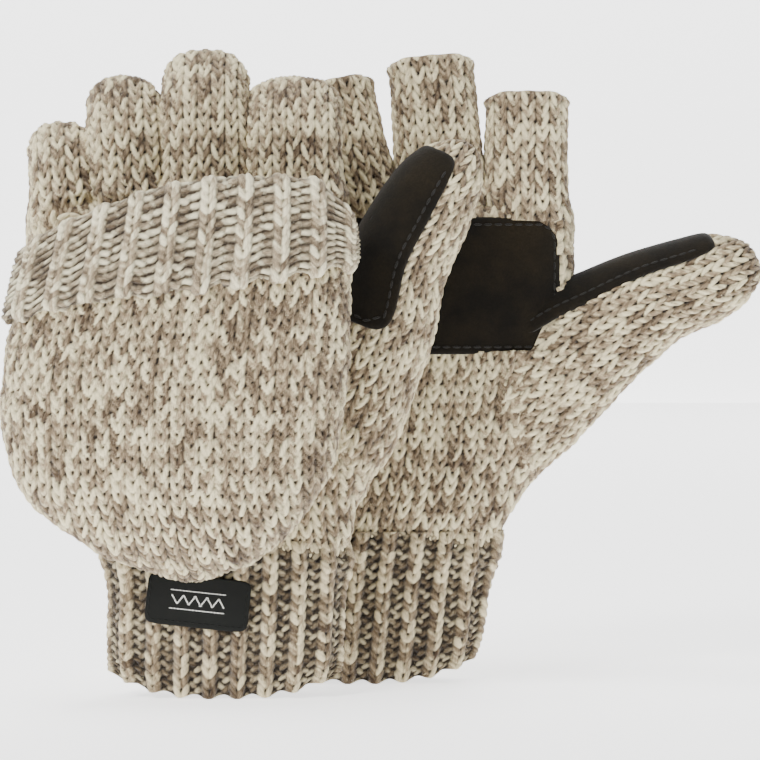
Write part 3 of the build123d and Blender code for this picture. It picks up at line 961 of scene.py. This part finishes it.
def make_label(glove, material, thread):
    """A satin label with a woven zigzag between two lines."""
    x, tilt = glove["label"]
    tilt = math.radians(tilt)

    def surface(a, b, lift):
        px = x - MIDDLE + a * math.cos(tilt) - b * math.sin(tilt)
        pz = LABEL_HEIGHT + a * math.sin(tilt) + b * math.cos(tilt)
        bow = 0.25 * np.sin(a / 5.0 + b / 9.0) - 0.0012 * a * a
        return np.stack([px, glove["back"] * (LABEL_DEPTH + bow + lift), pz], axis=-1)
    label = pad(glove["name"] + "_satin_label", surface, LABEL_HALF, 9, 0.35, material, spacing=0.6)
    zigzag = [(-9 + 2 * k, -1.2 if k % 2 else 1.8) for k in range(10)]
    edge = [(-16.4, 6.6), (-16.4, -5.8), (-15, -7.2), (15.4, -7.2), (16.4, -6), (16.4, 6.6)]
    lines = []
    for part, corners, gap, shade, *size in (
            ("zigzag", zigzag, 0.9, thread, 0.6, 0.28, 0.16, 0.42),
            ("line_0", [(-9.5, 3.4), (9.5, 3.4)], 1.2, thread, 0.75, 0.2, 0.14, 0.42),
            ("line_1", [(-9.5, -2.9), (9.5, -2.9)], 1.2, thread, 0.75, 0.2, 0.14, 0.42),
            ("edge", edge, 2.2, material, 0.8, 0.2, 0.12, 0.4)):
        lines.append(stitch_line(f"{glove['name']}_label_{part}", surface, corners, gap, shade, *size))
    return label, lines


def make_glove(glove, look):
    """Builds one glove's pieces, hides the CAD node each replaces and attaches each to what it rides on."""
    name = glove["name"]
    body, hood_body = name + "_glove", name + "_hood"
    depth = glove["back"] * (BACK_OF_HAND - HAND_DEPTH)
    hand = edges_form(glove["hand"], depth, HAND_DEPTH, 2.9, [0.72, 0.93],
                      close=((3.2, 1.2, 0.8), (5.0, 3.5, 0.4), (5.6, 6, 0.05)))
    press = under_palm_patch(glove)
    thumb = thumb_form(glove)
    fingers = {finger: finger_form(glove, finger) for finger in glove["fingers"]}
    cuff, cuff_knit = make_cuff(glove, hand, look["rib"])
    install_cloth(cuff_knit, cuff, name + "_cuff", body)

    hand_knit = knit_tube(name + "_hand_knit", hand, look["knit"], [thumb, *fingers.values()], spacing=0.56,
                          press=press)
    install_cloth(hand_knit, hand, name + "_hand_shell", body)
    thumb_knit = knit_tube(name + "_thumb_knit", thumb, look["knit"], [hand], closed_end=True, spacing=0.48,
                           press=press)
    install_cloth(thumb_knit, thumb, name + "_thumb_shell", body)
    for finger, form in fingers.items():
        others = [hand] + [f for key, f in fingers.items() if key != finger]
        knit = knit_tube(f"{name}_{finger}_finger_knit", form, look["knit"], others, wrapped=True,
                         spacing=0.45, lumps=0.3, thickness=2.0, press=press, rim=0.7,
                         end_edge=(rounded_end(form), 8))
        install_cloth(knit, form, f"{name}_{finger}_finger", body)

    for part, form, start in (("hand", hand, 0.02), ("thumb", thumb, 0.1)):
        lining = plain_tube(f"{name}_{part}_fleece", form, look["fleece"], 3.7, LINING, start, 0.95)
        install_cloth(lining, form, f"{name}_{part}_lining", body,
                      0.95 - start, LINING_MIDDLE)
    filling = plain_tube(name + "_hand_filling", hand, look["felt"], 2.4, BATTING, 0.03, 0.94)
    install(filling, name + "_hand_insulation", body)

    hood, hood_knit = make_hood(glove, look["knit"])
    install(hood_knit, name + "_hood_shell", hood_body)
    band = install(make_band(glove, hood, look["band"]), name + "_hood_band", hood_body)
    install(make_seam(glove, look["knit"]), name + "_hood_seam", body)
    lining = plain_tube(name + "_hood_fleece", hood, look["fleece"], 3.8, LINING, 0.14, 0.92,
                        end_edge=mouth_drop(glove))
    install_cloth(lining, hood, name + "_hood_lining", hood_body,
                  0.79, LINING_MIDDLE)
    filling = plain_tube(name + "_hood_filling", hood, look["felt"], 2.5, BATTING, 0.12, 0.9,
                         end_edge=mouth_drop(glove))
    install(filling, name + "_hood_insulation", hood_body)

    for key, make_patch, form in (("palm", make_palm_patch, hand), ("thumb", make_thumb_patch, thumb)):
        patch, stitching, flat = make_patch(glove, form, look["suede"], look["thread"])
        install(patch, f"{name}_{key}_patch", body)
        install(stitching, f"{name}_{key}_patch_stitching", body)
    label, lines = make_label(glove, look["label"], look["white"])
    install(label, name + "_label", body)
    for line in lines:
        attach(line, body)
    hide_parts(name + "_label_stitching")


def make_stage():
    """A white glowing floor that curves up into a backdrop. It glows less in front of the gloves."""
    profile = [(-3.0, 0.0), (-0.2, 0.0), (2.4, 0.0)]
    bend = np.linspace(0.1, math.pi / 2, 12)
    profile += [(2.4 + 0.6 * math.sin(a), 0.6 - 0.6 * math.cos(a)) for a in bend]
    profile += [(3.0, 3.5)]
    points = [(x, y, z - 0.0006) for y, z in profile for x in (-4, 4)]
    faces = [(2 * k, 2 * k + 1, 2 * k + 3, 2 * k + 2) for k in range(len(profile) - 1)]
    mesh = bpy.data.meshes.new("backdrop")
    mesh.from_pydata(points, [], faces)
    for polygon in mesh.polygons:
        polygon.use_smooth = True
    for name, glow in (("white_backdrop", 2.4), ("white_floor", 1.0), ("bright_floor", 1.7)):
        mesh.materials.append(backdrop_material(name, glow))
    mesh.polygons[0].material_index = 1
    mesh.polygons[1].material_index = 2
    add_object("backdrop", mesh)


def make_world():
    """A pale surround, for views past the floor's edges."""
    world = bpy.data.worlds.new("pale_surround")
    world.use_nodes = True
    background = world.node_tree.nodes["Background"]
    background.inputs["Color"].default_value = grey(0.9)
    background.inputs["Strength"].default_value = 0.3
    bpy.context.scene.world = world


def aim(thing, place_at, target):
    direction = np.asarray(target, float) - np.asarray(place_at, float)
    thing.location = place_at
    yaw = math.atan2(-direction[0], direction[1])
    pitch = math.atan2(direction[2], math.hypot(direction[0], direction[1]))
    thing.rotation_euler = (math.pi / 2 + pitch, 0, yaw)


def add_light(name, place_at, size, power):
    lamp = bpy.data.lights.new(name, "AREA")
    lamp.size, lamp.energy = size, power
    aim(add_object(name, lamp), place_at, (0, 0, PAIR_MIDDLE))


def add_camera():
    target = np.array([-MIDDLE, -50.0, 108.3]) * MM
    rise, far = math.radians(2.0), 1.185
    camera = bpy.data.cameras.new("camera")
    camera.sensor_width, camera.lens = 36.0, 168.4
    camera.clip_start, camera.clip_end = 0.05, 20.0
    thing = add_object("camera", camera)
    aim(thing, target + far * np.array([0, -math.cos(rise), math.sin(rise)]), target)
    bpy.context.scene.camera = thing


def make_looks():
    dark, middle, light = colour(82, 66, 50), colour(166, 146, 117), colour(243, 230, 188)
    return {
        "knit": yarn_material("marled_knit_yarn", dark, middle, light),
        "rib": yarn_material("rib_yarn", colour(72, 57, 42), colour(152, 133, 105), colour(230, 215, 175)),
        # the band's yarn has lighter colours and a lighter painted shade in its gaps (0.4)
        "band": yarn_material("band_yarn", colour(104, 88, 70), colour(186, 168, 138),
                              colour(250, 240, 204), 0.4),
        "suede": suede_material("black_suede", colour(16, 13, 8), colour(34, 28, 17)),
        "thread": thread_material("charcoal_thread", colour(24, 22, 18)),
        "fleece": fleece_material("cream_fleece", colour(225, 215, 196), colour(150, 138, 118)),
        "felt": felt_material("grey_felt", colour(205, 203, 198)),
        "label": label_material("black_satin", colour(9, 11, 8)),
        "white": thread_material("white_thread", colour(225, 225, 220)),
    }


looks = make_looks()
for one_glove in (LEFT, RIGHT):
    make_glove(one_glove, looks)
make_stage()
make_world()
add_light("key", (-1.1, -1.3, 1.3), 0.6, 35)
add_light("fill", (1.2, -1.8, 0.7), 1.0, 5)
add_light("top", (-0.2, -0.1, 1.6), 0.7, 16)
add_light("back", (0.5, 1.9, 1.2), 0.8, 14)
add_camera()
